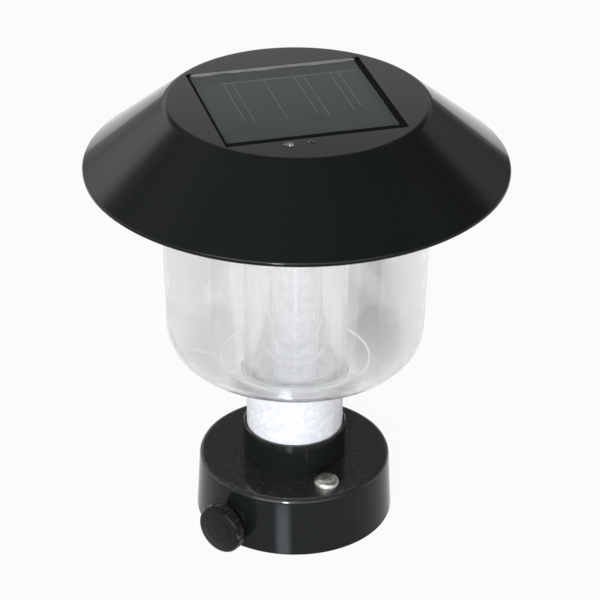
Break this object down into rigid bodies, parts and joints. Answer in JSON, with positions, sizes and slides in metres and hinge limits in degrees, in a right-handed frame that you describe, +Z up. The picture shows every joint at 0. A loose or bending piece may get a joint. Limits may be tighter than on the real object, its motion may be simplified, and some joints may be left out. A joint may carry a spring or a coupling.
{
  "type": "deck post cap light",
  "caption": "Solar light that caps a round deck post: clamped black base, white neck, clear bowl with ribbed diffuser and prism column, wide conical roof with a sunk panel.",
  "frame": {"origin": "centre of the base cap's lower rim, on the post's axis", "axes": "+Z up along the post's axis, -Y towards the front (the side the light sensor is on), +X to the right"},
  "size_m": [0.16, 0.16, 0.1778],
  "materials": {
    "black_plastic": "gloss",
    "black_inner_plastic": "satin",
    "white_plastic": "satin",
    "reflector_white": "satin",
    "clear_plastic": "clear",
    "ribbed_clear_plastic": "clear, ribbed",
    "prism_clear_plastic": "clear, polished",
    "grey_seal": "matte",
    "black_rubber": "matte",
    "stainless_steel": "satin",
    "zinc_steel": "satin",
    "brass": "machined",
    "panel_backing": "matte",
    "solar_cell": "dark, smooth",
    "silver_ribbon": "bright",
    "panel_face": "clear",
    "red_insulation": "satin",
    "blue_insulation": "satin",
    "yellow_insulation": "satin",
    "sensor_ceramic": "matte",
    "tinted_window": "clear, gloss",
    "board_laminate": "satin",
    "part_black": "matte",
    "lamp_resin": "clear, gloss",
    "cell_sleeve": "gloss",
    "nickel_strip": "bright",
    "switch_plastic": "matte",
    "slider_plastic": "satin"
  },
  "bodies": {
    "base": {"base_cap": "black_plastic", "base_screws": "stainless_steel", "flange_inserts": "brass", "post_pad": "black_rubber", "neck_tube": "white_plastic", "neck_seal": "grey_seal", "clamp_insert": "brass", "lens_bowl": "clear_plastic", "diffuser_tube": "ribbed_clear_plastic", "foot_reflector": "reflector_white"},
    "clamp_pad": {"clamp_pad": "black_inner_plastic"},
    "clamp_knob": {"clamp_screw": "stainless_steel", "clamp_knob": "black_plastic"},
    "rim_seal": {"rim_seal": "grey_seal"},
    "head": {"roof_shell": "black_plastic", "panel_seal": "black_rubber", "panel_board": "panel_backing", "solar_cells": "solar_cell", "cell_ribbons": "silver_ribbon", "panel_glass": "panel_face", "panel_leads": "red_insulation", "sensor_window": "tinted_window", "sensor_element": "sensor_ceramic", "sensor_leads": "yellow_insulation", "indicator_lens": "tinted_window", "light_tray": "reflector_white", "tray_screws": "zinc_steel", "circuit_board": "board_laminate", "board_screws": "zinc_steel", "board_parts": "part_black", "leds": "lamp_resin", "light_pipe": "prism_clear_plastic", "battery_cell": "cell_sleeve", "positive_contact": "nickel_strip", "negative_contact": "nickel_strip", "battery_door": "reflector_white", "door_screw": "zinc_steel", "switch_body": "switch_plastic", "switch_leads": "blue_insulation"},
    "switch": {"switch_slider": "slider_plastic"}
  },
  "joints": [
    {"name": "head_twist", "type": "hinge", "parent": "base", "child": "rim_seal", "pos_m": [0, 0, 0.1515], "axis": [0, 0, 1], "range_deg": [0, 20]},
    {"name": "head_lift", "type": "slide", "parent": "rim_seal", "child": "head", "axis": [0, 0, 1], "range_m": [0, 0.11]},
    {"name": "switch_slide", "type": "slide", "parent": "head", "child": "switch", "axis": [1, 0, 0], "range_m": [0, 0.004]},
    {"name": "pad_slide", "type": "slide", "parent": "base", "child": "clamp_pad", "axis": [0.6157, 0.788, 0], "range_m": [0, 0.0016]},
    {"name": "knob_turn", "type": "hinge", "parent": "clamp_pad", "child": "clamp_knob", "pos_m": [-0.02647, -0.03388, 0.0102], "axis": [0.6157, 0.788, 0], "range_deg": [0, 720]}
  ],
  "couplings": [
    {"joint": "pad_slide", "follows": "knob_turn", "m_per_rad": 0.00012732}
  ]
}
